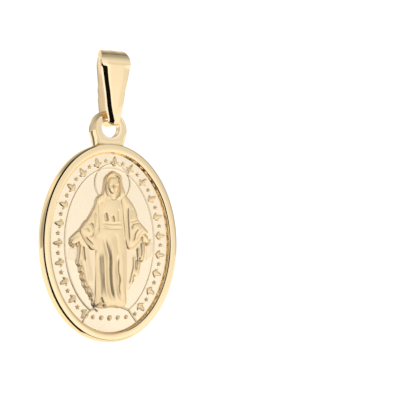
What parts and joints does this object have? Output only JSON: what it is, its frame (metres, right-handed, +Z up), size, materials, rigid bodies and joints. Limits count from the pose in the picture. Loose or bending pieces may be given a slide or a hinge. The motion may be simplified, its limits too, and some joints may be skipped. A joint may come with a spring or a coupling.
{
  "type": "religious medal pendant",
  "caption": "Oval struck gold medal with raised figure, cross and hearts, a ring eye on top, hanging free in a folded tapered strip bail that slides on a chain.",
  "frame": {"origin": "inside top of the bail, where a chain sits, on the pendant's middle plane", "axes": "+Z up, the front face looks along -Y, +X to the right seen from the front"},
  "size_m": [0.0136, 0.0029, 0.0266],
  "materials": {
    "gold_bail": "polished yellow gold",
    "gold_medal": "struck yellow gold, polished rim and raised work on a satin field"
  },
  "bodies": {
    "hanger": {"bail": "gold_bail"},
    "drop": {"medal": "gold_medal"}
  },
  "joints": [
    {"name": "medal_swing", "type": "hinge", "parent": "hanger", "child": "drop", "pos_m": [0, 0, -0.0055], "axis": [1, 0, 0], "range_deg": [-110, 120]}
  ]
}
